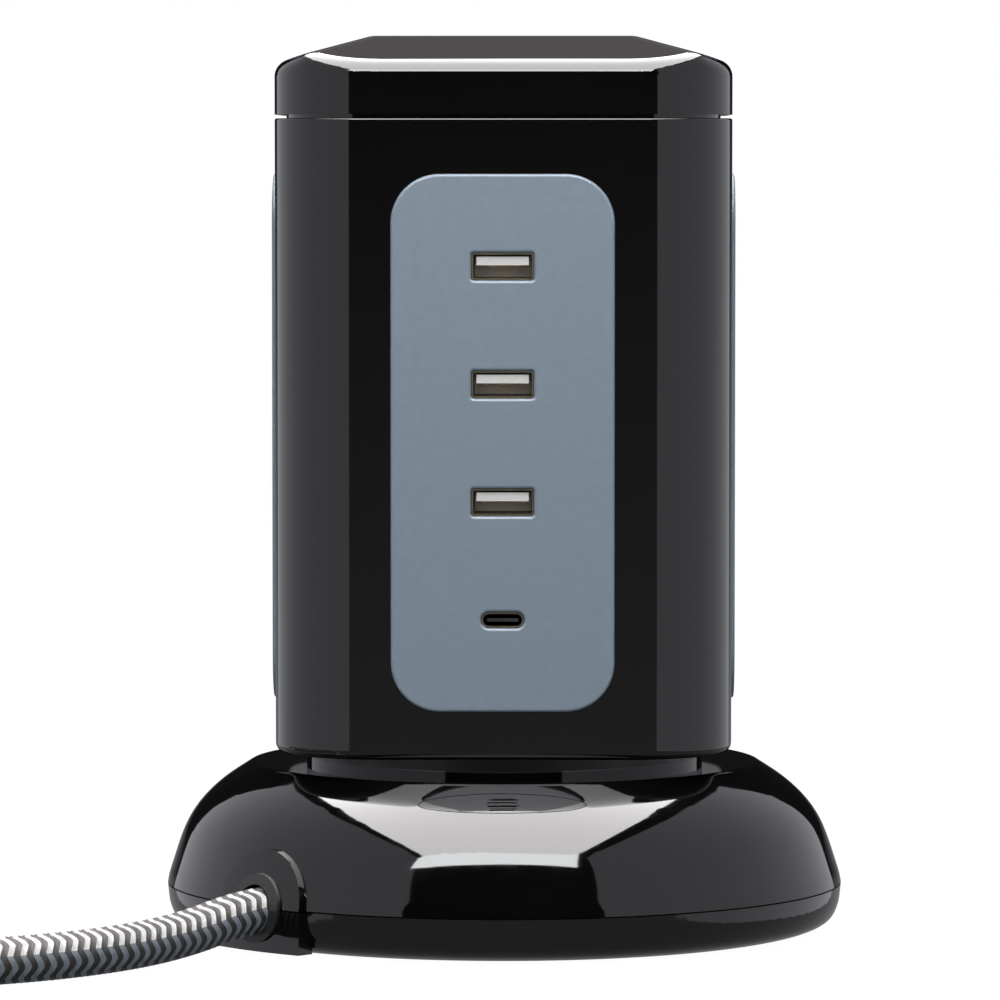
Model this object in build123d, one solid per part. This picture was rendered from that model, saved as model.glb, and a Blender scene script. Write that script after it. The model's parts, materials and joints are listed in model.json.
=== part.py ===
from build123d import *
import os
from math import cos, pi, radians, sin, tan

# Tower power strip on a round domed base, in millimetres.
# +Z is up, the front (the USB side) faces -Y, and the origin is the centre of the base on the floor.

# ---------------------------------------------------------------- driving dimensions
FOOT_PROUD = 0.6          # rubber feet below the tray
SEAM_Z = 10.4             # seam between tray and dome
SEAM_GAP = 0.3
BASE_R = 74.1
TRAY_FLOOR_R = 63.9
WALL = 2.4                # moulded wall thickness of all casings
DOME_EDGE_R = 55.6        # where the dome meets its flat top
DOME_TOP_Z = 37.0
COLLAR_Z = 38.4           # low collar moulded on the dome
NECK_R = 43.5
BODY_Z0 = 41.3
BODY_Z1 = 177.7
BODY_W = 98.4             # across the flats of the rounded-square tower
BODY_CORNER = 22.8
LID_GAP = 0.8
EAVE_Z = 189.4            # where the roof plane would meet the wall
TOP_Z = 195.4
PLATEAU = 56.6            # flat square on top of the lid

PANEL_W = 47.5
PANEL_H = 114.1
PANEL_CORNER = 10.4
PANEL_PROUD = 0.8
PANEL_Z = 108.8           # height of the panels' centres
PORT_PITCH = 25.0
OUTLET_PITCH = 57.0

USB_A_W, USB_A_H = 13.1, 5.7
USB_C_W, USB_C_H = 8.94, 3.26
SHEET = 0.3               # folded steel of the USB shells

PIN_ROW = 22.23           # earth pin centre above the line of the other two
PIN_HALF = 11.11          # half the distance between live and neutral
EARTH_HOLE = (4.7, 8.8)   # width, height
POLE_HOLE = (7.0, 4.7)

BUTTON_R, BUTTON_Z = 60.9, 33.5
BUTTON_TILT = 34.5        # the button's normal, degrees from vertical towards the front
BUTTON_HALF = (17.6, 2.95)

CORD_D = 9.8
CORD_AZIMUTH = 44.0       # degrees from the front towards the left
PAD_R = 12.3              # arched pad round the cord's exit
PAD_PROUD = 1.5

COIL_CENTRE = (-182.0, -55.4)
COIL_R = 53.0             # middle of the turns
COIL_TURNS = 3            # side by side, in two layers
PLUG_HEADING = 12.0
PLUG_AT = (-167.8, 37.6)  # middle of the plug's cord-side edge, on the floor

HALF = BODY_W / 2
FACE_Y = -HALF - PANEL_PROUD      # outer face of the front panel
INNER_Y = -HALF + WALL            # inner face of the front wall
FLANGE_Y = INNER_Y + 1.8          # back of a panel's flange
SHUTTER_Y = (-44.5, -42.5)
HOUSING_Y = (-42.3, -28.0)
SIDES = {"left": -90.0, "right": 90.0, "rear": 180.0}
OUTLETS = {"upper": OUTLET_PITCH / 2, "lower": -OUTLET_PITCH / 2}
PANEL_SCREWS = [(u, v) for u in (-26.0, 26.0) for v in (-30.0, 30.0)]
BASE_SCREWS = [(58.0, a) for a in (28.0, 118.0, 200.0, 310.0)]
TOWER_SCREWS = [(31.5, a) for a in (45.0, 135.0, 225.0, 315.0)]
NECK_SCREWS = [(41.8, a) for a in (0.0, 90.0, 180.0, 270.0)]
LID_SCREWS = [(x, y) for x in (-37.5, 37.5) for y in (-37.5, 37.5)]
FEET = [(50.0, a) for a in (0.0, 90.0, 180.0, 270.0)]


# ---------------------------------------------------------------- small helpers
def block(x0, x1, y0, y1, z0, z1):
    return Pos((x0 + x1) / 2, (y0 + y1) / 2, (z0 + z1) / 2) * Box(x1 - x0, y1 - y0, z1 - z0)


def post(x, y, z0, z1, r):
    return Pos(x, y, (z0 + z1) / 2) * Cylinder(r, z1 - z0)


def rod_y(x, z, y0, y1, r):
    return Pos(x, (y0 + y1) / 2, z) * Rot(90, 0, 0) * Cylinder(r, y1 - y0)


def polar(r, degrees_):
    return r * cos(radians(degrees_)), r * sin(radians(degrees_))


def posts(places, z0, z1, r):
    return [post(*polar(*place), z0, z1, r) for place in places]


def group(solids):
    return Compound(children=[s for part in solids for s in part.solids()])


def spun(*edges):
    return revolve(make_face(Wire(edges)), Axis.Z, 360)


def plate_xz(sketch, y0, y1):
    """A flat sketch (x across, y up) stood upright facing the front, from y0 back to y1."""
    return extrude(Plane((0, y1, 0), x_dir=(1, 0, 0), z_dir=(0, -1, 0)) * sketch, y1 - y0)


def rounded_tower(width, corner, z0, z1):
    return Pos(0, 0, z0) * extrude(RectangleRounded(width, width, corner), z1 - z0)


def turned(part, degrees_):
    return Rot(0, 0, degrees_) * part


# ---------------------------------------------------------------- base outlines
def dome_curve():
    """Side of the dome from the seam up to the edge of its flat top."""
    points = [(BASE_R, SEAM_Z), (73.1, 14.3), (71.4, 19.5), (69.3, 24.4), (65.6, 29.4), (61.0, 33.4),
              (56.2, 36.55)]
    return Spline(*[(r, 0, z) for r, z in points], tangents=[(-0.12, 0, 1), (-0.84, 0, 0.54)])


def dome_solid(grow, top):
    """Everything inside the dome's side moved out by grow, up to height top."""
    side = dome_curve()
    moved = []
    for i in range(9):
        p, d = side @ (i / 8), side % (i / 8)
        moved.append((p.X + grow * d.Z, 0, p.Z - grow * d.X))
    moved[0] = (moved[0][0], 0, SEAM_Z)
    end = moved[-1]
    solid = spun(Spline(*moved), Line(end, (0, 0, end[2])), Line((0, 0, end[2]), (0, 0, SEAM_Z)),
                 Line((0, 0, SEAM_Z), moved[0]))
    return solid & block(-90, 90, -90, 90, SEAM_Z, top)


def pad_outline(r):
    """Arched outline round the cord's exit: half a circle above the seam, straight below it."""
    arch = Circle(r) + Pos(0, -SEAM_Z / 2) * Rectangle(2 * r, SEAM_Z)
    arch &= Pos(0, r / 2 - 4.9) * Rectangle(2 * r, r + 9.8)
    return arch


def along_cord(sketch, r0, r1):
    """A sketch (x tangential, y up, centred on the cord) extruded outwards from radius r0 to r1."""
    out = Vector(-sin(radians(CORD_AZIMUTH)), -cos(radians(CORD_AZIMUTH)), 0)
    across = Vector(cos(radians(CORD_AZIMUTH)), -sin(radians(CORD_AZIMUTH)), 0)
    start = Plane(out * r0 + Vector(0, 0, SEAM_Z), x_dir=across, z_dir=across.cross(Vector(0, 0, 1)))
    sense = 1 if start.z_dir.dot(out) > 0 else -1
    return extrude(start * sketch, sense * (r1 - r0))


def pad_skin(r, inner, outer, top):
    """The arched prism between two offsets of the base's outside."""
    prism = along_cord(pad_outline(r), 50, 90)
    upper = dome_solid(outer, top) - dome_solid(inner, top)
    lower = post(0, 0, FOOT_PROUD + 0.6, SEAM_Z, BASE_R + outer) - post(0, 0, 0, SEAM_Z, BASE_R + inner)
    return prism & upper, prism & lower


def button_frame(depth=0.0):
    """Plane on the dome's front at the button, or that deep under it, facing outwards."""
    n = Vector(0, -sin(radians(BUTTON_TILT)), cos(radians(BUTTON_TILT)))
    return Plane(Vector(0, -BUTTON_R, BUTTON_Z) - n * depth, x_dir=(1, 0, 0), z_dir=n)


def button_outline(grow=0.0):
    """Slim oval whose tips follow the dome round."""
    a, b = BUTTON_HALF[0] + grow, BUTTON_HALF[1] + grow
    ring = [(a * cos(t), b * sin(t) + 1.1 * (a * cos(t) / BUTTON_HALF[0]) ** 2)
            for t in (2 * pi * i / 24 for i in range(24))]
    return make_face(Spline(*ring, periodic=True))


# ---------------------------------------------------------------- base
def base_dome():
    side = dome_curve()
    end = side @ 1
    outer = spun(side, Bezier(end, (DOME_EDGE_R, 0, DOME_TOP_Z), (54.8, 0, DOME_TOP_Z)),
                 Line((54.8, 0, DOME_TOP_Z), (NECK_R, 0, DOME_TOP_Z)),
                 Line((NECK_R, 0, DOME_TOP_Z), (NECK_R, 0, COLLAR_Z)),
                 Line((NECK_R, 0, COLLAR_Z), (0, 0, COLLAR_Z)),
                 Line((0, 0, COLLAR_Z), (0, 0, SEAM_Z)), Line((0, 0, SEAM_Z), side @ 0))
    upper_pad, _ = pad_skin(PAD_R, -0.5, PAD_PROUD, 30)
    shell = outer + upper_pad
    shell -= dome_solid(-WALL, DOME_TOP_Z - WALL)
    bosses = group(posts(BASE_SCREWS, 7.2, 34, 3.8)) & dome_solid(-WALL / 2, DOME_TOP_Z - WALL / 2)
    feet = group(posts(BASE_SCREWS, 7.2, SEAM_Z, 3.8))
    shell = shell + bosses + feet
    shell -= post(0, 0, 30, 45, 40.0)
    shell -= block(-90, 90, -90, 90, SEAM_Z, SEAM_Z + SEAM_GAP / 2) - post(0, 0, 0, 20, 66)
    for hole in posts(BASE_SCREWS, 5, 20, 1.35) + posts(NECK_SCREWS, 30, 40, 1.05):
        shell -= hole
    shell -= extrude(button_frame(12) * button_outline(0.22), 20)
    shell -= along_cord(Circle(6.4), 50, 90)
    return shell


def base_tray():
    outer_side = Spline((TRAY_FLOOR_R, 0, FOOT_PROUD), (69.2, 0, 1.25), (72.1, 0, 2.95), (73.3, 0, 5.2),
                        (BASE_R, 0, SEAM_Z), tangents=[(1, 0, 0), (0.1, 0, 1)])
    top = SEAM_Z - SEAM_GAP / 2
    outer = spun(outer_side, Line((BASE_R, 0, SEAM_Z), (0, 0, SEAM_Z)),
                 Line((0, 0, SEAM_Z), (0, 0, FOOT_PROUD)),
                 Line((0, 0, FOOT_PROUD), (TRAY_FLOOR_R, 0, FOOT_PROUD)))
    _, lower_pad = pad_skin(PAD_R, -2.5, PAD_PROUD, 30)
    tray = outer + lower_pad
    hollow = spun(Line((0, 0, 2.8), (62, 0, 2.8)), Spline((62, 0, 2.8), (68.5, 0, 4.4), (71.2, 0, 9.0)),
                  Line((71.2, 0, 9.0), (71.2, 0, 20)), Line((71.2, 0, 20), (0, 0, 20)),
                  Line((0, 0, 20), (0, 0, 2.8)))
    tray -= hollow
    tray -= block(-90, 90, -90, 90, top, 20)
    lip = post(0, 0, 6.5, SEAM_Z + 2.2, 70.9) - post(0, 0, 0, 20, 69.4)
    tray += lip
    for hole in posts(BASE_SCREWS, 2, 7.0, 5.0):
        tray += hole
    cradle = along_cord(Pos(0, -4.05) * Rectangle(27, 7.1), 56, 64)
    tray += cradle & post(0, 0, 0, 30, 68)
    tray -= group(posts(BASE_SCREWS, 0, 3.6, 3.3) + posts(BASE_SCREWS, 0, 8, 1.75))
    tray -= group(posts(FEET, 0, 1.4, 7.6))
    tray -= along_cord(Circle(CORD_D / 2 + 0.05), 50, 70)
    tray -= along_cord(Circle(6.4), 66, 90)
    tray -= group([along_cord_post(t, 3.2, 11, 1.3) for t in (-9.5, 9.5)])
    return tray


def along_cord_post(t, z0, z1, r, at=60.0):
    """Upright round post beside the cord, t across from it, at a radius from the axis."""
    out = Vector(-sin(radians(CORD_AZIMUTH)), -cos(radians(CORD_AZIMUTH)), 0)
    across = Vector(cos(radians(CORD_AZIMUTH)), -sin(radians(CORD_AZIMUTH)), 0)
    p = out * at + across * t
    return post(p.X, p.Y, z0, z1, r)


def rubber_feet():
    return group(posts(FEET, 0, 1.4, 7.5))


def base_screws():
    return group([head + shank for head, shank in
                  zip(posts(BASE_SCREWS, 1.3, 3.6, 3.0), posts(BASE_SCREWS, 3.6, 16, 1.3))])


def cord_grommet():
    sleeve = along_cord(Circle(6.3) - Circle(CORD_D / 2 + 0.1), 70.5, 90)
    sleeve &= dome_solid(PAD_PROUD + 0.9, 30) + post(0, 0, 0, SEAM_Z, BASE_R + PAD_PROUD + 0.9)
    ring = along_cord(Circle(7.3) - Circle(CORD_D / 2 + 0.1), 60, 90)
    skin = dome_solid(PAD_PROUD + 0.9, 30) - dome_solid(PAD_PROUD + 0.03, 30)
    skin += post(0, 0, 0, SEAM_Z, BASE_R + PAD_PROUD + 0.9) - post(0, 0, 0, SEAM_Z, BASE_R + PAD_PROUD + 0.03)
    return sleeve + (ring & skin)


def cord_clamp():
    bar = along_cord(Pos(0, 3.3) * Rectangle(26, 5.4), 56.5, 63.5)
    bar -= along_cord(Circle(CORD_D / 2 + 0.05), 50, 70)
    bar -= group([along_cord_post(t, 8, 20, 1.6) for t in (-9.5, 9.5)])
    return bar


def cord_clamp_screws():
    return group([along_cord_post(t, 16.4, 18.2, 2.9) + along_cord_post(t, 4.0, 16.4, 1.25)
                  for t in (-9.5, 9.5)])


def neck_ring():
    ring = post(0, 0, COLLAR_Z, BODY_Z0, NECK_R) + post(0, 0, 30, COLLAR_Z, 39.7)
    ring -= post(0, 0, 25, 38.4, 36.0)
    ring -= post(0, 0, 25, 45, 27.0)
    ring -= group(posts(TOWER_SCREWS, 35, 45, 1.7))
    ring -= group(posts(NECK_SCREWS, 37, 40.9, 1.0))
    return ring


def neck_screws():
    return group([head + shank for head, shank in
                  zip(posts(NECK_SCREWS, 32.9, 34.5, 1.75), posts(NECK_SCREWS, 34.5, 40.7, 0.98))])


def tower_screws():
    return group([head + shank for head, shank in
                  zip(posts(TOWER_SCREWS, 36.4, 38.4, 2.8), posts(TOWER_SCREWS, 38.4, 50, 1.5))])


def power_button():
    cap = extrude(button_frame(8) * button_outline(), 14)
    cap &= dome_solid(0, 45) - dome_solid(-WALL - 0.1, 45)
    flange = extrude(button_frame(10) * button_outline(1.2), 12)
    flange &= dome_solid(-WALL - 0.1, 45) - dome_solid(-WALL - 1.4, 45)
    cap += flange
    for i in range(3):
        groove = Pos(0, 0.1 - 1.15 * i) * Rectangle(6.4 - 0.5 * i, 0.35)
        cap -= extrude(button_frame(0.35) * groove, 3)
    return cap


def button_plunger():
    return extrude(button_frame(9.6) * Circle(2.0), 9.6 - WALL - 1.45)


def power_switch():
    case = extrude(button_frame(19) * RectangleRounded(14, 11, 1), 10.5)
    case -= extrude(button_frame(12.5) * Circle(2.05), 8)
    for u in (-3.9, 0, 3.9):
        case += extrude(button_frame(22) * (Pos(u, -2) * Rectangle(2.8, 0.8)), 3.5)
    return case


def switch_bracket():
    corner = [button_frame(19).from_local_coords(Vector(0, v, 0)) for v in (-5.5, 5.5)]
    outline = Polyline((0, corner[0].Y, 2.8), (0, corner[1].Y + 3, 2.8), (0, corner[1].Y, corner[1].Z),
                       (0, corner[0].Y, corner[0].Z), close=True)
    web = extrude(make_face(outline), 1.2, dir=(1, 0, 0))
    feet = block(-7, 7, corner[0].Y, corner[1].Y + 3, 2.8, 4.4)
    return Pos(-7, 0, 0) * web + Pos(5.8, 0, 0) * web + feet


# ---------------------------------------------------------------- tower casing
def body_shell():
    shell = rounded_tower(BODY_W, BODY_CORNER, BODY_Z0, BODY_Z1)
    shell = fillet(shell.faces().sort_by(Axis.Z)[0].edges(), 2.0)
    shell = fillet(shell.faces().sort_by(Axis.Z)[-1].edges(), 0.45)
    shell -= rounded_tower(BODY_W - 2 * WALL, BODY_CORNER - WALL, BODY_Z0 + WALL, BODY_Z1 + 5)
    opening = plate_xz(Pos(0, PANEL_Z) * RectangleRounded(PANEL_W + 0.2, PANEL_H + 0.2, PANEL_CORNER + 0.1),
                       -HALF - 1, INNER_Y + 1)
    pilots = group([rod_y(u, PANEL_Z + v, -HALF + 0.5, INNER_Y + 1, 1.15) for u, v in PANEL_SCREWS])
    for angle in (0.0, *SIDES.values()):
        shell -= turned(opening, angle)
        shell -= turned(pilots, angle)
    lid_posts = [post(x, y, 160, 172, 5.3) for x, y in LID_SCREWS]
    shell += group(lid_posts) & rounded_tower(BODY_W - WALL, BODY_CORNER - WALL / 2, 150, BODY_Z1)
    shell += group(posts(TOWER_SCREWS, BODY_Z0 + 1, 51, 4.0))
    shell -= post(0, 0, 35, 60, 26.0)
    shell -= group(posts(TOWER_SCREWS, 35, 60, 1.5))
    shell -= group([post(x, y, 155, 175, 1.65) + post(x, y, 40, 50, 3.2) for x, y in LID_SCREWS])
    return shell


def roof(width, corner, drop):
    """Rounded-square block under a low four-sided roof with a flat top, lowered by drop."""
    rise = (TOP_Z - EAVE_Z) / ((BODY_W - PLATEAU) / 2)
    half_foot = PLATEAU / 2 + (TOP_Z - BODY_Z1) / rise
    outline = Polyline((-half_foot, 0, BODY_Z1), (-PLATEAU / 2, 0, TOP_Z), (PLATEAU / 2, 0, TOP_Z),
                       (half_foot, 0, BODY_Z1), close=True)
    ridge = extrude(make_face(outline), 90, dir=(0, 1, 0), both=True)
    frustum = ridge & turned(ridge, 90)
    return rounded_tower(width, corner, BODY_Z1, TOP_Z + 5) & Pos(0, 0, -drop) * frustum


def lid():
    outer = roof(BODY_W, BODY_CORNER, 0) & block(-60, 60, -60, 60, BODY_Z1 + LID_GAP, 210)
    hips = [e for e in outer.edges().filter_by(GeomType.LINE)
            if e.center().Z > EAVE_Z and e.bounding_box().size.Z > 1]
    outer = fillet(hips, 9.0)
    eave = [e for e in outer.edges() if EAVE_Z - 0.5 < e.center().Z < EAVE_Z + 2.6
            and e.bounding_box().size.Z < 2.2 and e.length > 2]
    outer = fillet(eave, 3.7)
    outer = fillet(outer.faces().sort_by(Axis.Z)[-1].edges(), 6.0)
    hollow = roof(BODY_W - 2 * WALL, BODY_CORNER - WALL, WALL) & block(-60, 60, -60, 60, 182, 210)
    lower = rounded_tower(BODY_W - 2 * WALL - 4, BODY_CORNER - WALL - 2, 170, 183)
    skirt = rounded_tower(BODY_W - 2 * WALL - 0.3, BODY_CORNER - WALL - 0.15, 172.5, 180)
    shell = outer + skirt - hollow - lower
    bosses = group([post(x, y, 172.1, 189, 3.6) for x, y in LID_SCREWS])
    shell += bosses & (roof(BODY_W - WALL, BODY_CORNER - WALL / 2, WALL / 2) + rounded_tower(
        BODY_W - 2 * WALL - 0.3, BODY_CORNER - WALL - 0.15, 172.1, 180))
    shell -= group([post(x, y, 170, 184, 1.2) for x, y in LID_SCREWS])
    return shell


def lid_screws():
    return group([post(x, y, 158.2, 160, 2.8) + post(x, y, 160, 183, 1.15) for x, y in LID_SCREWS])


# ---------------------------------------------------------------- panels
def panel_blank():
    plate = plate_xz(Pos(0, PANEL_Z) * RectangleRounded(PANEL_W, PANEL_H, PANEL_CORNER), FACE_Y, INNER_Y)
    plate = fillet(plate.faces().sort_by(Axis.Y)[0].edges(), 0.6)
    frame = RectangleRounded(57.6, 121, 12) - RectangleRounded(42, 113.5, 8)
    flange = plate_xz(Pos(0, PANEL_Z) * frame, INNER_Y, FLANGE_Y)
    flange &= rounded_tower(BODY_W - 2 * WALL - 0.1, BODY_CORNER - WALL - 0.05, 0, 250)
    flange -= group([rod_y(u, PANEL_Z + v, INNER_Y - 1, FLANGE_Y + 1, 1.5) for u, v in PANEL_SCREWS])
    return plate + flange


def rim_edges(panel, reach):
    """Edges of a panel's cut-outs in its outer face, within that distance of its middle line."""
    return [e for e in panel.edges() if abs(e.center().Y - FACE_Y) < 0.01 and abs(e.center().X) < reach
            and e.length < 20]


def usb_places():
    """Height of each USB port, top to bottom; the last is the small one."""
    return [PANEL_Z + PORT_PITCH * k for k in (1.5, 0.5, -0.5, -1.5)]


def usb_panel():
    panel = panel_blank()
    heights = usb_places()
    for z in heights[:3]:
        panel -= plate_xz(Pos(0, z) * RectangleRounded(USB_A_W + 0.2, USB_A_H + 0.2, 0.6), -55, -40)
    panel -= plate_xz(Pos(0, heights[3]) * SlotOverall(USB_C_W + 0.2, USB_C_H + 0.2), -55, -40)
    panel = fillet(rim_edges(panel, 8), 0.65)
    for u in (-16.0, 16.0):
        for v in (-51.0, 51.0):
            panel += rod_y(u, PANEL_Z + v, INNER_Y - 0.5, -35.0, 2.8)
            panel -= rod_y(u, PANEL_Z + v, -43.0, -34.0, 1.05)
    return panel


def usb_a_shell(z):
    outer = plate_xz(Pos(0, z) * RectangleRounded(USB_A_W, USB_A_H, 0.5), -49.5, -35.0)
    inner = plate_xz(Pos(0, z) * RectangleRounded(USB_A_W - 2 * SHEET, USB_A_H - 2 * SHEET, 0.25), -52, -35.6)
    return outer - inner


def usb_a_tongues():
    tongues = []
    for z in usb_places()[:3]:
        back = block(-6.1, 6.1, -39.0, -35.7, z - 2.4, z + 2.4)
        tongues.append(back + block(-5.55, 5.55, -48.8, -39.0, z + 0.25, z + 2.09))
    return group(tongues)


def usb_a_contacts():
    strips = []
    for z in usb_places()[:3]:
        for u in (-3.5, -1.0, 1.0, 3.5):
            strips.append(block(u - 0.5, u + 0.5, -48.2, -39.1, z + 0.02, z + 0.24))
    return group(strips)


def usb_c_shell():
    z = usb_places()[3]
    outer = plate_xz(Pos(0, z) * SlotOverall(USB_C_W, USB_C_H), -49.5, -35.0)
    inner = plate_xz(Pos(0, z) * SlotOverall(USB_C_W - 2 * SHEET, USB_C_H - 2 * SHEET), -52, -35.6)
    return outer - inner


def usb_c_tongue():
    z = usb_places()[3]
    return block(-3.2, 3.2, -41.5, -35.7, z - 1.0, z + 1.0) + block(-3.3, 3.3, -48.9, -41.5, z - 0.35, z + 0.35)


def usb_board():
    board = block(-19, 19, -35.0, -33.4, PANEL_Z - 55, PANEL_Z + 55)
    return board - group([rod_y(u, PANEL_Z + v, -36, -32, 1.3) for u in (-16.0, 16.0) for v in (-51.0, 51.0)])


def usb_board_screws():
    return group([rod_y(u, PANEL_Z + v, -33.4, -31.8, 2.2) + rod_y(u, PANEL_Z + v, -42.5, -33.4, 1.0)
                  for u in (-16.0, 16.0) for v in (-51.0, 51.0)])


def usb_charger_parts():
    core = block(-10, 10, -33.4, -17.4, PANEL_Z - 12, PANEL_Z + 10)
    winding = block(-7, 7, -17.4, -15.4, PANEL_Z - 8, PANEL_Z + 6)
    cans = [rod_y(u, PANEL_Z + v, -33.4, -15.4, 5.0) for u, v in ((-8, 30), (8, 30), (0, -26))]
    chip = block(-6, 6, -33.4, -31.0, PANEL_Z - 45, PANEL_Z - 37)
    return group([core + winding, *cans, chip])


# ---------------------------------------------------------------- mains outlets, built facing the front
def outlet_holes(z, extra=0.0):
    """Earth above, live and neutral below, as flat outlines round the outlet's centre."""
    def hole(u, v, size):
        return Pos(u, z + v) * Rectangle(size[0] + 2 * extra, size[1] + 2 * extra)
    return (hole(0, PIN_ROW / 2, EARTH_HOLE) + hole(-PIN_HALF, -PIN_ROW / 2, POLE_HOLE)
            + hole(PIN_HALF, -PIN_ROW / 2, POLE_HOLE))


def socket_panel():
    panel = panel_blank()
    for offset in OUTLETS.values():
        z = PANEL_Z + offset
        panel += plate_xz(outlet_holes(z, 1.2), INNER_Y - 0.5, -44.7)
        panel -= plate_xz(outlet_holes(z), -55, -40)
    return fillet(rim_edges(panel, 16), 0.4)


def shutter(z):
    bar = block(-16, 16, *SHUTTER_Y, z - 14.1, z - 8.1)
    arm = block(-3.5, 3.5, *SHUTTER_Y, z - 8.1, z + 12.5)
    plate = bar + arm
    ramp = plate.edges().filter_by(Axis.X).sort_by(Axis.Z)[-2:].sort_by(Axis.Y)[0]
    return chamfer(ramp, 1.6)


def shutter_spring(z):
    """Small compression spring between the shutter and the housing's ledge."""
    wire, coil, length = 0.3, 1.05, 10.95
    path = Helix(pitch=length / 5, height=length, radius=coil)
    start = Plane(path @ 0, z_dir=path % 0)
    wound = sweep(start * RegularPolygon(wire, 8), path=path, is_frenet=True)
    return Pos(0, -43.9, z - 25.8 + wire) * wound


def socket_housing():
    case = block(-22, 22, *HOUSING_Y, PANEL_Z - 57, PANEL_Z + 57)
    for offset in OUTLETS.values():
        z = PANEL_Z + offset
        case -= plate_xz(outlet_holes(z, 0.35), -45, -30.0)
        case -= block(-1.9, 1.9, -45, -30.0, z + PIN_ROW / 2 - 5.6, z + PIN_ROW / 2 + 5.6)
        for u in (-PIN_HALF, PIN_HALF):
            case -= block(u - 2.1, u + 2.1, -40.0, -30.0, z - PIN_ROW / 2 - 4.1, z - PIN_ROW / 2 + 4.1)
        case += block(-2.6, 2.6, -46.0, HOUSING_Y[0], z - 27.4, z - 25.9)
        for u in (-18.0, 16.2):
            case += block(u, u + 1.8, -44.6, HOUSING_Y[0], z - 25.0, z + 14.0)
    for u in (-PIN_HALF, 0, PIN_HALF):
        case -= block(u - 2.6, u + 2.6, -31.2, -29.9, PANEL_Z - 52, PANEL_Z + 52)
    for u, v in PANEL_SCREWS:
        inner = 21.0 if u > 0 else -21.0
        ear = block(min(u * 1.12, inner), max(u * 1.12, inner), FLANGE_Y, -42.0, PANEL_Z + v - 4, PANEL_Z + v + 4)
        case += ear
        case -= rod_y(u, PANEL_Z + v, -46, -41, 1.5)
    return case


def panel_screw(u, v, seat):
    return rod_y(u, PANEL_Z + v, seat, seat + 1.6, 2.6) + rod_y(u, PANEL_Z + v, -48.6, seat, 1.1)


def panel_screws():
    screws = [panel_screw(u, v, FLANGE_Y) for u, v in PANEL_SCREWS]
    for angle in SIDES.values():
        screws += [turned(panel_screw(u, v, -42.0), angle) for u, v in PANEL_SCREWS]
    return group(screws)


def pole_rail(u, leaf_gap, pole_v):
    """Brass strip down a housing's back, with a pair of spring leaves behind each hole of one pole."""
    strip = block(u - 2.4, u + 2.4, -31.0, -30.1, PANEL_Z - 50, PANEL_Z + 50)
    for offset in OUTLETS.values():
        z = PANEL_Z + offset + pole_v
        for low in (z - leaf_gap - 0.8, z + leaf_gap):
            strip += block(u - 1.9, u + 1.9, -39.5, -30.5, low, low + 0.8)
    return strip


def rails(u, leaf_gap, pole_v):
    one = pole_rail(u, leaf_gap, pole_v)
    return group([turned(one, angle) for angle in SIDES.values()])


def supply_wires():
    out = Vector(-sin(radians(CORD_AZIMUTH)), -cos(radians(CORD_AZIMUTH)), 0)
    across = Vector(cos(radians(CORD_AZIMUTH)), -sin(radians(CORD_AZIMUTH)), 0)
    wires = []
    for k in (-1, 0, 1):
        side = across * (2.9 * k)
        near = out * 53.8 + side + Vector(0, 0, SEAM_Z)
        turn = out * 15 + side * 1.6 + Vector(0, 0, SEAM_Z + 1)
        up = out * 12 + side * 1.8 + Vector(0, 0, 64 + 6 * k)
        path = FilletPolyline(near, turn, up, radius=9)
        wires.append(sweep(Plane(path @ 0, z_dir=path % 0) * Circle(1.35), path=path))
    return group(wires)


# ---------------------------------------------------------------- mains cord and plug
def cord_tube(points):
    """Round cord along straight runs joined by the largest arcs the runs allow."""
    points = [Vector(*p) for p in points]
    radii = []
    for before, at, after in zip(points, points[1:], points[2:]):
        turn = (at - before).get_angle(after - at)
        shorter = min((at - before).length, (after - at).length)
        radii.append(0.45 * shorter / tan(radians(turn) / 2))
    path = FilletPolyline(*points, radius=radii)
    tube = sweep(Plane(path @ 0, z_dir=path % 0) * Circle(CORD_D / 2), path=path)
    share = tube.volume / (pi * CORD_D ** 2 / 4 * path.length)
    print("cord tube: length", round(path.length, 1), "radii", [round(r) for r in radii],
          "volume share", round(share, 4))
    return tube


def out_from_axis(r, z):
    return (-r * sin(radians(CORD_AZIMUTH)), -r * cos(radians(CORD_AZIMUTH)), z)


FLOOR_Z = CORD_D / 2 + 0.02
OUTER_TURN = COIL_R + CORD_D
LEAD_ROUTE = [out_from_axis(54, SEAM_Z), out_from_axis(77, SEAM_Z), out_from_axis(98, 5.9),
              out_from_axis(127, FLOOR_Z), (-115.8, -107.8, FLOOR_Z), (-148.0, -118.2, FLOOR_Z),
              (COIL_CENTRE[0], COIL_CENTRE[1] - OUTER_TURN, FLOOR_Z)]
RELIEF_L = 21.0           # tapered sleeve on the plug, back along its heading
PLUG_END = (PLUG_AT[0] - RELIEF_L * cos(radians(PLUG_HEADING)),
            PLUG_AT[1] - RELIEF_L * sin(radians(PLUG_HEADING)))
TAIL_ROUTE = [(COIL_CENTRE[0] - OUTER_TURN, COIL_CENTRE[1], 1.5 * CORD_D),
              (-244.6, -35.6, 14.9), (-243.2, -15.6, 14.4), (-236.5, 3.3, 12.8), (-223.9, 18.8, 11.3),
              (-206.9, 29.3, 10.3),
              (PLUG_END[0], PLUG_END[1], 10.0)]


def power_cord():
    return cord_tube(LEAD_ROUTE)


def power_cord_tail():
    return cord_tube(TAIL_ROUTE)


def power_cord_coil():
    outer = OUTER_TURN + CORD_D / 2
    inner = COIL_R - CORD_D - CORD_D / 2
    ring = Cylinder(outer, 2 * CORD_D) - Cylinder(inner, 3 * CORD_D)
    coil = Pos(COIL_CENTRE[0], COIL_CENTRE[1], CORD_D) * fillet(ring.edges(), 3.0)
    return coil - cord_tie_ring(0.05)


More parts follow.
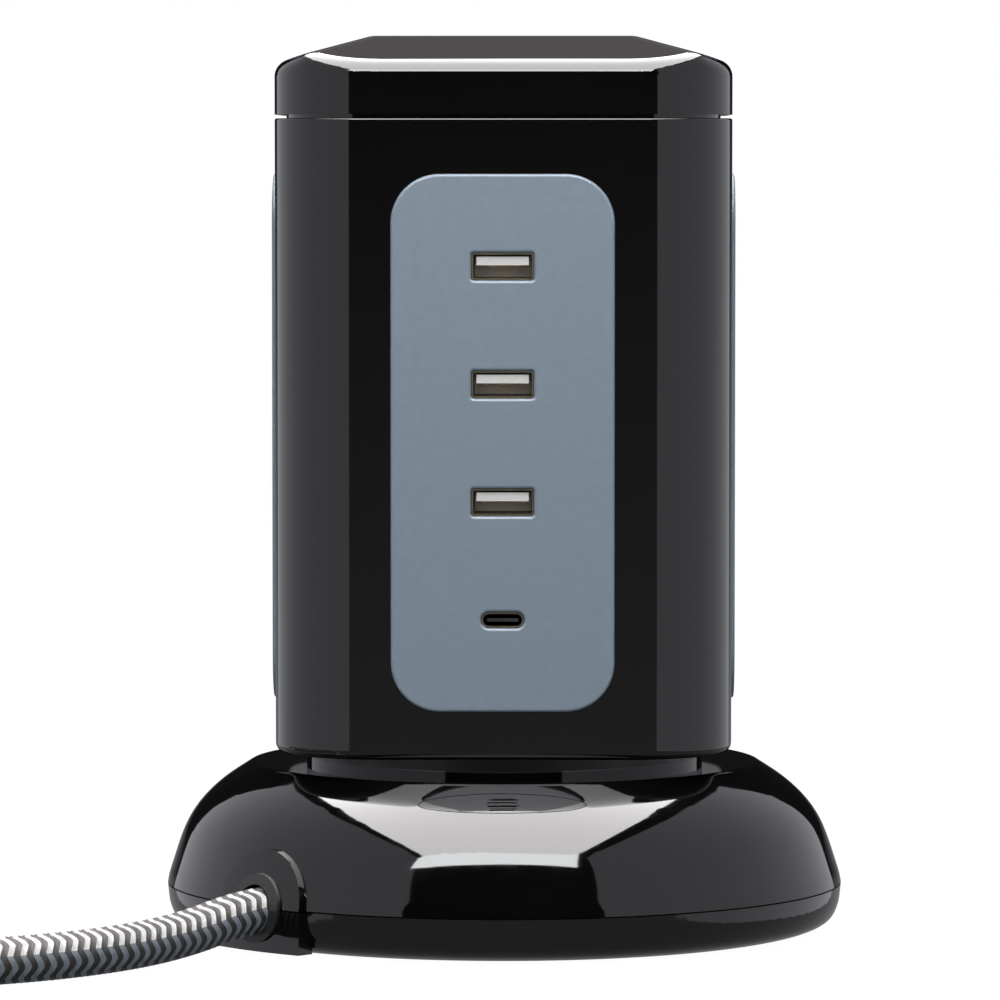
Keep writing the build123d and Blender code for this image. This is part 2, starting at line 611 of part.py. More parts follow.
def cord_tie_ring(grow=0.0):
    """Soft strap round all the turns at the coil's back."""
    span = COIL_TURNS * CORD_D + 2.4
    band = extrude(Plane.YZ * (RectangleRounded(span, 2 * CORD_D, 4.0)
                               - RectangleRounded(span - 2.0, 2 * CORD_D - 2.0, 3.2)), 6 + grow, both=True)
    if grow:
        band = extrude(Plane.YZ * (Rectangle(span + 2, 2 * CORD_D + 2)
                                   - RectangleRounded(span - 2.0 - 2 * grow, 2 * CORD_D - 2.0 - 2 * grow, 3.2)),
                       6 + grow, both=True)
    return Pos(COIL_CENTRE[0], COIL_CENTRE[1] + COIL_R, CORD_D) * band


def cord_tie():
    return cord_tie_ring()


def on_plug(part):
    """From the plug's own frame (x from the cord towards the earth pin, z up off the floor)."""
    return Pos(PLUG_AT[0], PLUG_AT[1], 0) * Rot(0, 0, PLUG_HEADING) * part


PLUG_L, PLUG_W, PLUG_H = 47.0, 49.0, 20.0
POLE_X = 13.0
EARTH_X = POLE_X + PIN_ROW


def plug_body():
    body = Pos(PLUG_L / 2, 0, 0) * extrude(RectangleRounded(PLUG_L, PLUG_W, 9), PLUG_H)
    body = fillet(body.faces().sort_by(Axis.Z)[0].edges(), 4.0)
    body = fillet(body.faces().sort_by(Axis.Z)[-1].edges(), 1.5)
    body -= block(20.5, 28.5, -14.2, 14.2, PLUG_H - 9, PLUG_H + 1)
    for x, y, a, b in ((POLE_X, -PIN_HALF, 4, 6.35), (POLE_X, PIN_HALF, 4, 6.35), (EARTH_X, 0, 8, 4)):
        body -= block(x - a / 2, x + a / 2, y - b / 2, y + b / 2, PLUG_H - 8, PLUG_H + 1)
    return on_plug(body)


def plug_pins():
    pins = []
    for x, y, a, b, up in ((POLE_X, -PIN_HALF, 4, 6.35, 17.7), (POLE_X, PIN_HALF, 4, 6.35, 17.7),
                           (EARTH_X, 0, 8, 4, 22.7)):
        pin = block(x - a / 2, x + a / 2, y - b / 2, y + b / 2, PLUG_H - 8, PLUG_H + up)
        pins.append(chamfer(pin.faces().sort_by(Axis.Z)[-1].edges(), 0.9))
    return on_plug(group(pins))


def plug_fuse_carrier():
    carrier = block(20.6, 28.4, -14.1, 14.1, PLUG_H - 8.9, PLUG_H + 0.4)
    carrier -= Pos(24.5, 0, PLUG_H - 5.2) * Rot(90, 0, 0) * Cylinder(3.2, 25.6)
    carrier -= block(21.3, 27.7, -12.8, 12.8, PLUG_H - 10, PLUG_H - 5.2)
    return on_plug(carrier)


def plug_fuse():
    return on_plug(Pos(24.5, 0, PLUG_H - 5.2) * Rot(90, 0, 0) * Cylinder(3.15, 25.4))


def plug_strain_relief():
    """Tapered sleeve where the cord meets the plug, with the cord's end inside."""
    sleeve = Pos(-RELIEF_L / 2, 0, 10) * Rot(0, 90, 0) * Cone(CORD_D / 2 + 1.3, CORD_D / 2 + 3.4, RELIEF_L)
    return on_plug(sleeve)


# ---------------------------------------------------------------- write every piece
def all_parts():
    parts = {
        "base_tray": base_tray(), "base_dome": base_dome(), "rubber_feet": rubber_feet(),
        "base_screws": base_screws(), "power_button": power_button(), "button_plunger": button_plunger(),
        "power_switch": power_switch(), "switch_bracket": switch_bracket(), "cord_grommet": cord_grommet(),
        "cord_clamp": cord_clamp(), "cord_clamp_screws": cord_clamp_screws(), "neck_ring": neck_ring(),
        "neck_screws": neck_screws(), "tower_screws": tower_screws(), "body_shell": body_shell(),
        "lid": lid(), "lid_screws": lid_screws(), "usb_panel": usb_panel(),
        "usb_a_tongues": usb_a_tongues(), "usb_a_contacts": usb_a_contacts(), "usb_c_shell": usb_c_shell(),
        "usb_c_tongue": usb_c_tongue(), "usb_board": usb_board(), "usb_board_screws": usb_board_screws(),
        "usb_charger_parts": usb_charger_parts(), "panel_screws": panel_screws(),
        "live_rails": rails(PIN_HALF, 2.6, -PIN_ROW / 2), "neutral_rails": rails(-PIN_HALF, 2.6, -PIN_ROW / 2),
        "earth_rails": rails(0, 4.5, PIN_ROW / 2), "supply_wires": supply_wires(),
        "power_cord": power_cord(), "power_cord_coil": power_cord_coil(), "power_cord_tail": power_cord_tail(),
        "cord_tie": cord_tie(), "plug_body": plug_body(), "plug_pins": plug_pins(),
        "plug_fuse_carrier": plug_fuse_carrier(), "plug_fuse": plug_fuse(),
        "plug_strain_relief": plug_strain_relief(),
    }
    for name, z in zip(("top", "middle", "bottom"), usb_places()):
        parts["usb_a_shell_" + name] = usb_a_shell(z)
    for side, angle in SIDES.items():
        parts["socket_panel_" + side] = turned(socket_panel(), angle)
        parts["socket_housing_" + side] = turned(socket_housing(), angle)
        for level, offset in OUTLETS.items():
            where = side + "_" + level
            parts["shutter_" + where] = turned(shutter(PANEL_Z + offset), angle)
            parts["shutter_spring_" + where] = turned(shutter_spring(PANEL_Z + offset), angle)
    return parts


os.makedirs("parts", exist_ok=True)
for name, part in all_parts().items():
    export_step(part, "parts/" + name + ".step")
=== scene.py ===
import bpy
import json
from math import cos, pi, radians, sin
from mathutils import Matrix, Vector


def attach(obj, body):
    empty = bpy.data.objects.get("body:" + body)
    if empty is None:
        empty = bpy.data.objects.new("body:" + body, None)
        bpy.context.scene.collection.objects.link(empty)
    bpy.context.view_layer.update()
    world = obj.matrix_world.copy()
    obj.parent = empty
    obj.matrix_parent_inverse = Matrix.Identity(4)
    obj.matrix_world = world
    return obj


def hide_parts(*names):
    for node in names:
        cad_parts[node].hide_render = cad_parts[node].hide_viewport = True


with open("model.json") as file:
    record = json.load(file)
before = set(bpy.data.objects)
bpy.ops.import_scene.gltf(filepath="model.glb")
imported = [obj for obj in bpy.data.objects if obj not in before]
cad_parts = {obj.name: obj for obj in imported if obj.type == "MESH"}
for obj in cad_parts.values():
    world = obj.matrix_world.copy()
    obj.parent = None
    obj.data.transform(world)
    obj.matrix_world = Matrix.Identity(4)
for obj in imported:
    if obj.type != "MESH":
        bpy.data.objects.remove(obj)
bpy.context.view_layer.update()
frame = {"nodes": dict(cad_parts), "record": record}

# ---------------------------------------------------------------- camera
IMAGE = 1000                                   # pixels a side
FOCAL_PX = 6380.0
CAMERA_AT = (0.0110, -1.4000, 0.1712)
PITCH_DOWN, YAW_LEFT = 3.152, 0.49             # degrees
camera_data = bpy.data.cameras.new("camera")
camera_data.sensor_width = 36.0
camera_data.lens = FOCAL_PX * camera_data.sensor_width / IMAGE
camera_data.clip_start, camera_data.clip_end = 0.05, 30.0
camera_data.dof.use_dof = False
camera = bpy.data.objects.new("camera", camera_data)
camera.location = CAMERA_AT
camera.rotation_euler = (radians(90 - PITCH_DOWN), 0, radians(YAW_LEFT))
bpy.context.collection.objects.link(camera)
bpy.context.scene.camera = camera
bpy.context.scene.view_settings.view_transform = "Standard"

# ---------------------------------------------------------------- node helpers


class Tree:
    """A few short calls that build one material's nodes."""

    def __init__(self, name):
        self.material = bpy.data.materials.new(name)
        self.material.use_nodes = True
        self.nodes = self.material.node_tree.nodes
        self.links = self.material.node_tree.links
        self.shader = self.nodes["Principled BSDF"]

    def add(self, kind, **settings):
        node = self.nodes.new(kind)
        for key, value in settings.items():
            setattr(node, key, value)
        return node

    def feed(self, socket, value):
        if isinstance(value, bpy.types.NodeSocket):
            self.links.new(value, socket)
        else:
            socket.default_value = value

    def math(self, operation, a, b=None, c=None):
        node = self.add("ShaderNodeMath", operation=operation)
        for i, value in enumerate((a, b, c)):
            if value is not None:
                self.feed(node.inputs[i], value)
        return node.outputs[0]

    def place(self):
        return self.add("ShaderNodeTexCoord").outputs["Object"]

    def noise(self, scale, detail=2.0, rough=0.5, vector=None):
        node = self.add("ShaderNodeTexNoise")
        self.feed(node.inputs["Vector"], vector or self.place())
        node.inputs["Scale"].default_value = scale
        node.inputs["Detail"].default_value = detail
        node.inputs["Roughness"].default_value = rough
        return node.outputs["Fac"]

    def remap(self, value, a, b, c, d):
        node = self.add("ShaderNodeMapRange")
        for socket, number in zip(node.inputs, (value, a, b, c, d)):
            self.feed(socket, number)
        return node.outputs[0]

    def blend(self, factor, a, b):
        node = self.add("ShaderNodeMix", data_type="RGBA")
        self.feed(node.inputs[0], factor)
        for socket, colour in ((node.inputs[6], a), (node.inputs[7], b)):
            self.feed(socket, colour if isinstance(colour, bpy.types.NodeSocket) else (*colour, 1))
        return node.outputs[2]

    def bump(self, height, strength, distance):
        node = self.add("ShaderNodeBump")
        node.inputs["Strength"].default_value = strength
        node.inputs["Distance"].default_value = distance
        self.feed(node.inputs["Height"], height)
        self.feed(self.shader.inputs["Normal"], node.outputs[0])

    def set(self, **values):
        for key, value in values.items():
            socket = self.shader.inputs[key.replace("_", " ")]
            if isinstance(value, tuple) and len(value) == 3:
                value = (*value, 1)
            self.feed(socket, value)
        return self


def moulded(name, colour, rough, grain_scale, grain_depth, spread=0.06, tint=0.05):
    """Moulded plastic: fine grain, roughness that varies a little, and faint mottling."""
    t = Tree(name)
    cloud = t.noise(38.0, 3.0)
    darker = tuple(c * (1 - tint) for c in colour)
    lighter = tuple(min(1.0, c * (1 + tint)) for c in colour)
    t.set(Base_Color=t.blend(t.remap(cloud, 0.3, 0.7, 0.0, 1.0), darker, lighter),
          Roughness=t.remap(t.noise(160.0, 4.0), 0.3, 0.7, rough - spread, rough + spread))
    t.bump(t.noise(grain_scale, 3.0, 0.6), 1.0, grain_depth)
    return t


def metal(name, colour, rough, streak=(1.0, 1.0, 12.0)):
    """Drawn or plated metal with fine streaks one way."""
    t = Tree(name)
    stretch = t.add("ShaderNodeMapping")
    t.feed(stretch.inputs["Vector"], t.place())
    stretch.inputs["Scale"].default_value = streak
    lines = t.noise(700.0, 3.0, 0.6, stretch.outputs[0])
    t.set(Base_Color=t.blend(lines, tuple(c * 0.86 for c in colour), colour), Metallic=1.0,
          Roughness=t.remap(lines, 0.3, 0.7, rough - 0.06, rough + 0.08))
    t.bump(lines, 0.4, 0.00002)
    return t


def polished_black():
    """Polished black moulding: almost a mirror, with a trace of moulding waviness and handling haze."""
    t = Tree("polished_black")
    haze = t.noise(26.0, 4.0, 0.6)
    t.set(Base_Color=t.blend(t.remap(haze, 0.3, 0.7, 0.0, 1.0),
                             (0.0026, 0.0025, 0.0028), (0.0038, 0.0037, 0.0042)),
          Roughness=t.remap(t.noise(210.0, 3.0), 0.3, 0.7, 0.035, 0.06), IOR=1.5)
    t.bump(t.noise(30.0, 1.0), 0.25, 0.00006)
    return t


def satin_panel():
    """Blue-grey satin moulding with a fine pebbled skin and soft clouding a few millimetres across."""
    t = Tree("satin_panel")
    cloud = t.noise(520.0, 4.0, 0.62)
    speck = t.noise(1500.0, 2.0, 0.6)
    base = t.blend(t.remap(cloud, 0.32, 0.68, 0.0, 1.0), (0.200, 0.262, 0.328), (0.210, 0.274, 0.340))
    t.set(Base_Color=t.blend(t.remap(speck, 0.55, 0.8, 0.0, 0.25), base, (0.28, 0.34, 0.40)),
          Roughness=t.remap(cloud, 0.3, 0.7, 0.44, 0.56))
    t.bump(t.noise(1700.0, 2.0, 0.5), 0.5, 0.00004)
    return t


def soft_rubber():
    t = Tree("soft_rubber")
    t.set(Base_Color=t.blend(t.noise(120.0, 4.0), (0.012, 0.012, 0.012), (0.03, 0.03, 0.029)),
          Roughness=t.remap(t.noise(400.0), 0.3, 0.7, 0.68, 0.85))
    t.bump(t.noise(1400.0, 4.0), 0.6, 0.00006)
    return t


def circuit_board():
    t = Tree("circuit_board")
    weave = t.add("ShaderNodeTexBrick")
    t.feed(weave.inputs["Vector"], t.place())
    weave.inputs["Scale"].default_value = 420.0
    for key, colour in (("Color1", (0.012, 0.10, 0.035)), ("Color2", (0.014, 0.12, 0.042)),
                        ("Mortar", (0.02, 0.16, 0.06))):
        weave.inputs[key].default_value = (*colour, 1)
    t.set(Base_Color=weave.outputs["Color"], Roughness=t.remap(t.noise(90.0), 0.3, 0.7, 0.25, 0.4))
    t.bump(weave.outputs["Fac"], 0.3, 0.00004)
    return t


SLOT_MATERIALS = {
    "black_gloss": polished_black(),
    "panel_grey": satin_panel(),
    "shutter_black": moulded("shutter_black", (0.012, 0.012, 0.012), 0.4, 900.0, 0.00003),
    "black_moulding": moulded("black_moulding", (0.014, 0.014, 0.015), 0.42, 1100.0, 0.00004),
    "white_moulding": moulded("white_moulding", (0.86, 0.86, 0.85), 0.35, 900.0, 0.00002, tint=0.02),
    # usb_steel: steel darkened and browned, partly a painted reflection of the dark port interior it mirrors
    "usb_steel": metal("usb_steel", (0.25, 0.22, 0.15), 0.34),
    "gold_contact": metal("gold_contact", (0.86, 0.42, 0.13), 0.3),
    "screw_steel": metal("screw_steel", (0.52, 0.52, 0.54), 0.32, (8.0, 8.0, 1.0)),
    "rubber": soft_rubber(),
    "circuit_board": circuit_board(),
    "charger_parts": moulded("charger_parts", (0.05, 0.045, 0.04), 0.5, 700.0, 0.00008, tint=0.3),
    "brass": metal("brass", (0.72, 0.5, 0.2), 0.26),
    "wire_insulation": moulded("wire_insulation", (0.16, 0.07, 0.03), 0.45, 500.0, 0.00004, tint=0.2),
    "fuse_ceramic": moulded("fuse_ceramic", (0.7, 0.67, 0.58), 0.22, 300.0, 0.00002, tint=0.05),
}


def repaint(node, tree):
    """Give that node's mesh the one material."""
    mesh = frame["nodes"][node].data
    mesh.materials.clear()
    mesh.materials.append(tree.material)


for part in frame["record"]["subparts"]:
    if part["material_slot"] in SLOT_MATERIALS:
        repaint(part["node"], SLOT_MATERIALS[part["material_slot"]])
repaint("neck_ring", moulded("neck_black", (0.0045, 0.0045, 0.005), 0.42, 1100.0, 0.00003))

# ---------------------------------------------------------------- mains cord
CORD_D = 0.0098
CORD_AZIMUTH = 44.0
SEAM_Z = 0.0104
FLOOR_Z = 0.00492
COIL_CENTRE = (-0.1820, -0.0554)
COIL_R = 0.0530
OUTER_TURN = COIL_R + CORD_D
TOP_Z = FLOOR_Z + CORD_D
BRAID_PITCH = 0.0029
COLUMNS = 12                  # herringbone columns round the cord
ZIGZAG = 0.0013               # how far a stripe runs along the cord within one column
COLUMN_START = radians(43)    # a chevron's point, measured from the top of the cord
BUNDLE_RISE = 0.00022         # a stripe's middle over its edges
COLUMN_RISE = 0.00012         # a column's middle over its edges
FINE_LENGTH = 0.16            # the cord near its exit, where the rings stand closer
CORD_SIDES = 48


def out_from_axis(r, z):
    return (-r * sin(radians(CORD_AZIMUTH)), -r * cos(radians(CORD_AZIMUTH)), z)


def ease(value, start, end):
    share = min(1.0, max(0.0, (value - start) / (end - start)))
    return share * share * (3 - 2 * share)


def turn_at(progress):
    """Radius and height of the winding after that many degrees clockwise from its front."""
    radius = OUTER_TURN
    for start in (270, 630):
        radius -= CORD_D * ease(progress, start, start + 90)
    for start in (1260, 1620):
        radius += CORD_D * ease(progress, start, start + 90)
    rise = sin(pi / 2 * min(1.0, max(0.0, (progress - 960) / 100)))
    return radius, FLOOR_Z + CORD_D * rise


def coil_points():
    step = 360 / 18
    points = []
    for i in range(1, int(1890 / step)):
        progress = step * i
        radius, height = turn_at(progress)
        radius /= cos(radians(step / 2)) ** 0.75
        angle = radians(-90 - progress)
        points.append((COIL_CENTRE[0] + radius * cos(angle), COIL_CENTRE[1] + radius * sin(angle), height))
    return points


LEAD = [out_from_axis(0.054, SEAM_Z), out_from_axis(0.077, SEAM_Z), out_from_axis(0.098, 0.0059),
        out_from_axis(0.127, FLOOR_Z), (-0.1158, -0.1078, FLOOR_Z), (-0.1480, -0.1182, FLOOR_Z),
        (COIL_CENTRE[0], COIL_CENTRE[1] - OUTER_TURN, FLOOR_Z)]
PLUG_HEADING = radians(12)
RELIEF_L = 0.021
PLUG_END = (-0.1678 - RELIEF_L * cos(PLUG_HEADING), 0.0376 - RELIEF_L * sin(PLUG_HEADING), 0.010)
TAIL = [(COIL_CENTRE[0] - OUTER_TURN, COIL_CENTRE[1], TOP_Z), (-0.2446, -0.0356, 0.0149),
        (-0.2432, -0.0156, 0.0144), (-0.2365, 0.0033, 0.0128), (-0.2239, 0.0188, 0.0113),
        (-0.2069, 0.0293, 0.0103), PLUG_END,
        (PLUG_END[0] + 0.016 * cos(PLUG_HEADING), PLUG_END[1] + 0.016 * sin(PLUG_HEADING), 0.010)]


def centreline():
    """Points along the cord's smooth line, from its NURBS curve."""
    curve = bpy.data.curves.new("cord_line", "CURVE")
    curve.dimensions = "3D"
    curve.resolution_u = 12
    spline = curve.splines.new("NURBS")
    route = LEAD + coil_points() + TAIL
    spline.points.add(len(route) - 1)
    for point, place in zip(spline.points, route):
        point.co = (*place, 1)
    spline.order_u = 3
    spline.use_endpoint_u = True
    holder = bpy.data.objects.new("cord_line", curve)
    line = bpy.data.meshes.new_from_object(holder)
    points = [v.co.copy() for v in line.vertices]
    bpy.data.objects.remove(holder)
    return points


def along(points, spacing_at):
    """(place, tangent, distance) at uneven steps along the line; spacing_at gives the step for a distance."""
    rings, travelled, wanted = [], 0.0, 0.0
    for a, b in zip(points, points[1:]):
        length = (b - a).length
        while length > 0 and wanted <= travelled + length:
            rings.append((a.lerp(b, (wanted - travelled) / length), (b - a).normalized(), wanted))
            wanted += spacing_at(wanted)
        travelled += length
    return rings


def zigzag(angle):
    """How far a stripe leans towards the exit at that angle round the cord."""
    share = ((angle - COLUMN_START) / (4 * pi / COLUMNS)) % 1.0
    return ZIGZAG * abs(1 - 2 * share)


def braided_tube(name, line, sides):
    """Tube whose stripes of yarn stand proud in a herringbone, with the pattern's place in its UV map."""
    rings = along(line, lambda s: BRAID_PITCH / 10 if s < FINE_LENGTH else BRAID_PITCH / 5)
    verts, faces, uvs = [], [], []
    up = Vector((0, 0, 1))
    for at, tangent, s in rings:
        side = up.cross(tangent).normalized()
        top = tangent.cross(side).normalized()
        for k in range(sides):
            angle = 2 * pi * k / sides
            phase = (s + zigzag(angle)) / BRAID_PITCH
            column = ((angle - COLUMN_START) / (2 * pi / COLUMNS)) % 1.0
            bundle = abs(sin(2 * pi * phase)) ** 0.6
            crown = sin(pi * column) ** 0.5
            radius = CORD_D / 2 - BUNDLE_RISE * (1 - bundle) - COLUMN_RISE * (1 - crown)
            verts.append(at + radius * (cos(angle) * top + sin(angle) * side))
    n = len(rings)
    for i in range(n - 1):
        for k in range(sides):
            j = (k + 1) % sides
            faces.append((i * sides + k, i * sides + j, (i + 1) * sides + j, (i + 1) * sides + k))
            for ring, step in ((i, k), (i, k + 1), (i + 1, k + 1), (i + 1, k)):
                angle = 2 * pi * step / sides
                uvs.append((step / sides, (rings[ring][2] + zigzag(angle)) / BRAID_PITCH))
    faces.append(tuple(reversed(range(sides))))
    faces.append(tuple((n - 1) * sides + k for k in range(sides)))
    uvs += [(0.0, 0.0)] * (2 * sides)
    mesh = bpy.data.meshes.new(name)
    mesh.from_pydata(verts, [], faces)
    layer = mesh.uv_layers.new(name="braid")
    for loop, uv in zip(layer.data, uvs):
        loop.uv = uv
    mesh.polygons.foreach_set("use_smooth", [True] * len(mesh.polygons))
    mesh.validate()
    obj = bpy.data.objects.new(name, mesh)
    bpy.context.collection.objects.link(obj)
    return obj


def braid_material():
    """Light and dark yarn in turn along each stripe; white over the upper side, blue-grey over the lower. The
    dark yarn is painted a lit brownish over the upper side, a painted sheen of the light from above, and is
    black over the lower.
    """
    t = Tree("braid")
    uv = t.add("ShaderNodeUVMap")
    uv.uv_map = "braid"
    split = t.add("ShaderNodeSeparateXYZ")
    t.feed(split.inputs[0], uv.outputs[0])
    round_it, phase = split.outputs[0], split.outputs[1]
    stripe = t.math("ABSOLUTE", t.math("SUBTRACT", t.math("FRACT", phase), 0.5))
    light = t.remap(stripe, 0.25, 0.28, 0.0, 1.0)
    turn = t.math("FRACT", t.math("SUBTRACT", round_it, 73 / 360))
    lower = t.remap(turn, 0.497, 0.503, 1.0, 0.0)
    yarn = t.noise(900.0, 3.0, 0.7)
    pale = t.blend(lower, (0.86, 0.86, 0.85), (0.20, 0.235, 0.28))
    # painted sheen: the dark yarn is brownish where light from above falls on the upper side, and black below
    dark = t.blend(lower, (0.020, 0.015, 0.013), (0.003, 0.003, 0.003))
    colour = t.blend(light, dark, pale)
    shade = t.blend(t.remap(yarn, 0.35, 0.75, 0.0, 0.3), colour, (0.02, 0.02, 0.022))
    t.set(Base_Color=shade, Roughness=t.remap(yarn, 0.3, 0.7, 0.5, 0.75))
    t.shader.inputs["Sheen Weight"].default_value = 0.05
    t.shader.inputs["Sheen Roughness"].default_value = 0.4
    threads = t.math("SINE", t.math("MULTIPLY", phase, 2 * pi * 6))
    t.bump(t.math("ADD", threads, t.math("MULTIPLY", yarn, 2.0)), 0.35, 0.00006)
    return t.material


cord_line = centreline()
braided_cord = braided_tube("braided_cord", cord_line, CORD_SIDES)
braided_cord.data.materials.append(braid_material())
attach(braided_cord, "tower")
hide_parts("power_cord", "power_cord_coil", "power_cord_tail")


# ---------------------------------------------------------------- tie round the coil
def strap():
    """Woven hook-and-loop strap round the turns at the coil's back, its free end lapped over the top."""
    thick, wide, soft = 0.0009, 0.012, 0.0042
    inner = (COIL_R - 1.5 * CORD_D - 0.0003, COIL_R + 1.5 * CORD_D + 0.0003)
    low, high = thick, 2 * CORD_D + 0.0004
    corners = [(inner[1] - soft, low + soft, -90), (inner[1] - soft, high - soft, 0),
               (inner[0] + soft, high - soft, 90), (inner[0] + soft, low + soft, 180)]
    loop = []
    for x, z, start in corners:
        for i in range(9):
            a = radians(start + 90 * i / 8)
            loop.append((x, z, cos(a), sin(a), soft))
    lap = []
    for i in range(9):
        a = radians(90 * i / 8)
        lap.append((inner[1] - soft, high - soft, cos(a), sin(a), soft + thick))
    for i in range(1, 9):
        lap.append((inner[1] - soft - 0.0019 * i, high - soft, 0.0, 1.0,
                    soft + thick + 0.00004 * i * i * (i > 5)))
    verts, faces, uvs = [], [], []

    def ribbon(points, closed):
        first = len(verts)
        rows = len(points)
        across = 6
        for x, z, nx, nz, reach in points:
            for depth in (0.0, thick):
                for k in range(across + 1):
                    edge = 2 * k / across - 1
                    dip = 0.00018 * edge ** 6
                    r = reach + depth + (dip if depth == 0 else -dip)
                    verts.append((COIL_CENTRE[0] + edge * wide / 2, COIL_CENTRE[1] + x + nx * r, z + nz * r))
        per = 2 * (across + 1)
        for i in range(rows if closed else rows - 1):
            a, b = first + i * per, first + ((i + 1) % rows) * per
            for k in range(across):
                faces.append((a + k, a + k + 1, b + k + 1, b + k))
                faces.append((a + across + 1 + k, b + across + 1 + k, b + across + 2 + k, a + across + 2 + k))
            faces.append((a, b, b + across + 1, a + across + 1))
            faces.append((a + across, a + per - 1, b + per - 1, b + across))
        if not closed:
            for base, flip in ((first, 1), (first + (rows - 1) * per, 0)):
                for k in range(across):
                    quad = (base + k, base + across + 1 + k, base + across + 2 + k, base + k + 1)
                    faces.append(quad if flip else tuple(reversed(quad)))

    ribbon(loop, True)
    ribbon(lap, False)
    mesh = bpy.data.meshes.new("cord_strap")
    mesh.from_pydata(verts, [], faces)
    mesh.polygons.foreach_set("use_smooth", [True] * len(mesh.polygons))
    mesh.validate()
    obj = bpy.data.objects.new("cord_strap", mesh)
    bpy.context.collection.objects.link(obj)
    return obj


def strap_material():
    t = Tree("strap_weave")
    wave = t.add("ShaderNodeTexWave", wave_type="BANDS", bands_direction="DIAGONAL")
    t.feed(wave.inputs["Vector"], t.place())
    wave.inputs["Scale"].default_value = 330.0
    wave.inputs["Distortion"].default_value = 2.0
    fuzz = t.noise(1500.0, 4.0, 0.7)
    t.set(Base_Color=t.blend(wave.outputs["Fac"], (0.008, 0.008, 0.009), (0.03, 0.03, 0.033)),
          Roughness=t.remap(fuzz, 0.3, 0.7, 0.75, 0.95))
    t.shader.inputs["Sheen Weight"].default_value = 0.3
    t.bump(t.math("ADD", wave.outputs["Fac"], fuzz), 0.6, 0.00012)
    return t.material


cord_strap = strap()
cord_strap.data.materials.append(strap_material())
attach(cord_strap, "tower")
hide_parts("cord_tie")
for name in ("plug_body", "plug_pins", "plug_fuse_carrier", "plug_fuse", "plug_strain_relief"):
    frame["nodes"][name].visible_glossy = False        # the glossy base shows only what stands in the view

# ---------------------------------------------------------------- studio


def plane(name, corners, colour, strength):
    """Glowing rectangle of the studio, seen in reflections only."""
    mesh = bpy.data.meshes.new(name)
    mesh.from_pydata(corners, [], [(0, 1, 2, 3)])
    obj = bpy.data.objects.new(name, mesh)
    material = bpy.data.materials.new(name)
    material.use_nodes = True
    nodes = material.node_tree.nodes
    nodes.clear()
    glow, out = nodes.new("ShaderNodeEmission"), nodes.new("ShaderNodeOutputMaterial")
    glow.inputs[0].default_value, glow.inputs[1].default_value = (*colour, 1), strength
    material.node_tree.links.new(glow.outputs[0], out.inputs[0])
    mesh.materials.append(material)
    bpy.context.collection.objects.link(obj)
    obj.visible_camera = False
    obj.visible_diffuse = False
    obj.visible_shadow = False
    return obj


WALL_X, WALL_FRONT, WALL_BACK, WALL_FOOT, WALL_TOP = 0.70, -1.06, 1.20, -0.2, 1.05
WALL_GLOW = 0.9
SOFT_Z = 0.70                 # height of the soft box overhead and of its brighter front lip
plane("soft_top",
      [(-0.425, -0.66, SOFT_Z), (0.39, -0.66, SOFT_Z), (0.39, 0.62, SOFT_Z), (-0.425, 0.62, SOFT_Z)],
      (1.0, 0.975, 0.985), 13.0)
plane("soft_lip",
      [(-0.66, -0.95, SOFT_Z), (0.50, -0.95, SOFT_Z), (0.39, -0.66, SOFT_Z), (-0.425, -0.66, SOFT_Z)],
      (0.97, 0.99, 1.0), 17.0)
for side in (-1, 1):
    x = side * WALL_X
    plane("wall_" + ("left" if side < 0 else "right"),
          [(x, WALL_FRONT, WALL_FOOT), (x, WALL_BACK, WALL_FOOT), (x, WALL_BACK, WALL_TOP),
           (x, WALL_FRONT, WALL_TOP)],
          (0.92, 0.93, 1.0), WALL_GLOW)
plane("back_upper", [(-0.35, 1.0, 0.5), (0.35, 1.0, 0.5), (0.35, 1.0, 1.3), (-0.35, 1.0, 1.3)],
      (1.0, 0.92, 0.96), 0.32)

floor_mesh = bpy.data.meshes.new("floor")
FLOOR_HALF = 6
floor_mesh.from_pydata([(-FLOOR_HALF, -FLOOR_HALF, 0), (FLOOR_HALF, -FLOOR_HALF, 0),
                        (FLOOR_HALF, FLOOR_HALF, 0), (-FLOOR_HALF, FLOOR_HALF, 0)], [], [(0, 1, 2, 3)])
floor_plane = bpy.data.objects.new("floor", floor_mesh)
floor_paint = bpy.data.materials.new("floor")
floor_paint.use_nodes = True
paint = floor_paint.node_tree.nodes["Principled BSDF"]
paint.inputs["Base Color"].default_value = (0.12, 0.12, 0.12, 1)
paint.inputs["Roughness"].default_value = 1.0
paint.inputs["Specular IOR Level"].default_value = 0.0
paint.inputs["Emission Color"].default_value = (1, 1, 1, 1)
paint.inputs["Emission Strength"].default_value = 0.985
floor_mesh.materials.append(floor_paint)
bpy.context.collection.objects.link(floor_plane)
floor_plane.visible_glossy = False
floor_plane.visible_diffuse = False


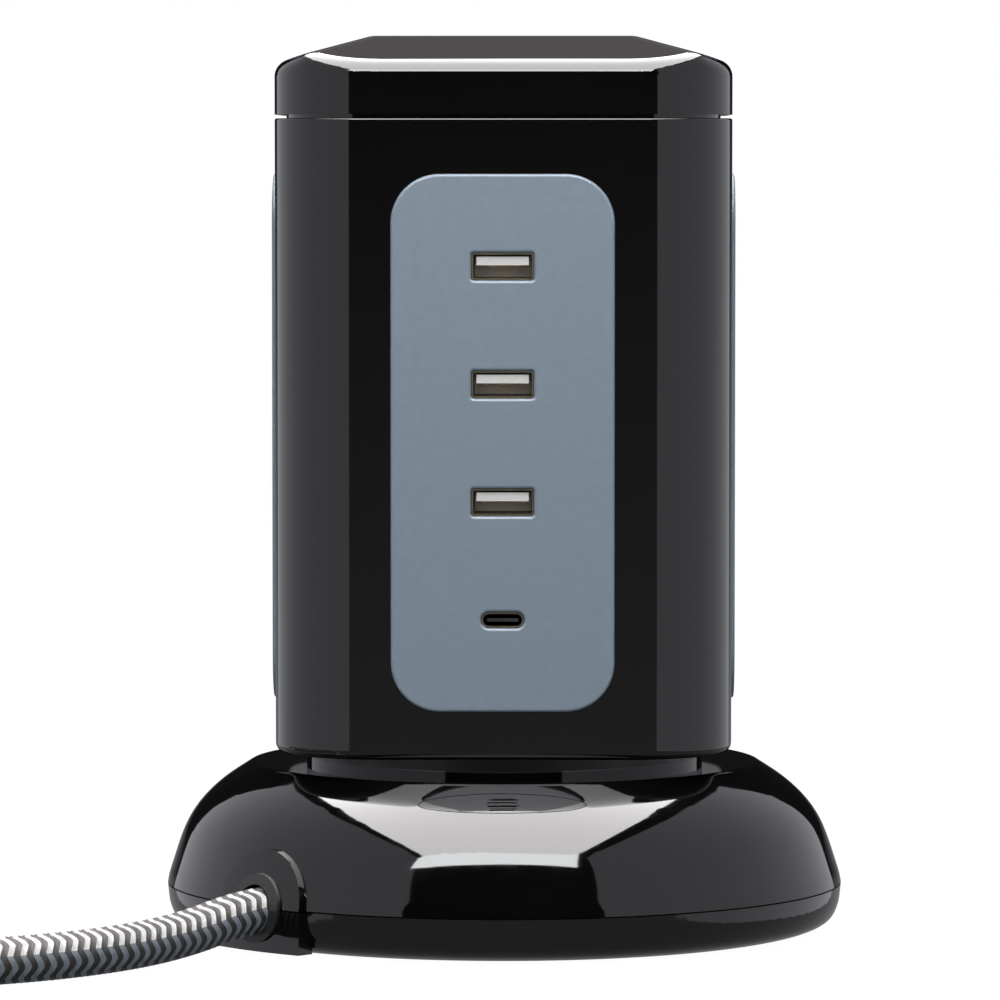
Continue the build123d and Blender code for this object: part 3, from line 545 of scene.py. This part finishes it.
def lamp(name, at, look_at, size, watts):
    """Soft rectangular lamp that lights surfaces but isn't mirrored in them."""
    data = bpy.data.lights.new(name, "AREA")
    data.shape = "RECTANGLE"
    data.size, data.size_y = size
    data.energy = watts
    obj = bpy.data.objects.new(name, data)
    obj.location = at
    obj.rotation_euler = (Vector(look_at) - Vector(at)).to_track_quat("-Z", "Y").to_euler()
    bpy.context.collection.objects.link(obj)
    obj.visible_glossy = False
    obj.visible_camera = False


lamp("over", (0, -0.45, 0.72), (0, -0.05, 0.1), (0.8, 0.7), 4.6)
lamp("front_fill", (0, -2.2, 0.9), (0, 0, 0.1), (1.6, 1.2), 9.0)


def studio_world():
    """White to the camera, soft grey on surfaces, and nearly black in reflections above the floor line."""
    world = bpy.data.worlds.new("studio")
    world.use_nodes = True
    nodes, links = world.node_tree.nodes, world.node_tree.links
    nodes.clear()
    path = nodes.new("ShaderNodeLightPath")
    geometry = nodes.new("ShaderNodeNewGeometry")
    split = nodes.new("ShaderNodeSeparateXYZ")
    links.new(geometry.outputs["Position"], split.inputs[0])
    band = nodes.new("ShaderNodeMapRange")
    links.new(split.outputs[2], band.inputs[0])
    for i, value in enumerate((-0.10, 0.02, 0.30, 0.012), 1):
        band.inputs[i].default_value = value
    mirror = nodes.new("ShaderNodeBackground")
    links.new(band.outputs[0], mirror.inputs[1])
    mirror.inputs[0].default_value = (0.95, 0.95, 1.0, 1)
    fill = nodes.new("ShaderNodeBackground")
    fill.inputs[0].default_value, fill.inputs[1].default_value = (1, 1, 1, 1), 0.20
    white = nodes.new("ShaderNodeBackground")
    white.inputs[0].default_value, white.inputs[1].default_value = (1, 1, 1, 1), 1.0
    by_mirror, by_camera = nodes.new("ShaderNodeMixShader"), nodes.new("ShaderNodeMixShader")
    links.new(path.outputs["Is Glossy Ray"], by_mirror.inputs[0])
    links.new(fill.outputs[0], by_mirror.inputs[1])
    links.new(mirror.outputs[0], by_mirror.inputs[2])
    links.new(path.outputs["Is Camera Ray"], by_camera.inputs[0])
    links.new(by_mirror.outputs[0], by_camera.inputs[1])
    links.new(white.outputs[0], by_camera.inputs[2])
    out = nodes.new("ShaderNodeOutputWorld")
    links.new(by_camera.outputs[0], out.inputs[0])
    bpy.context.scene.world = world


studio_world()
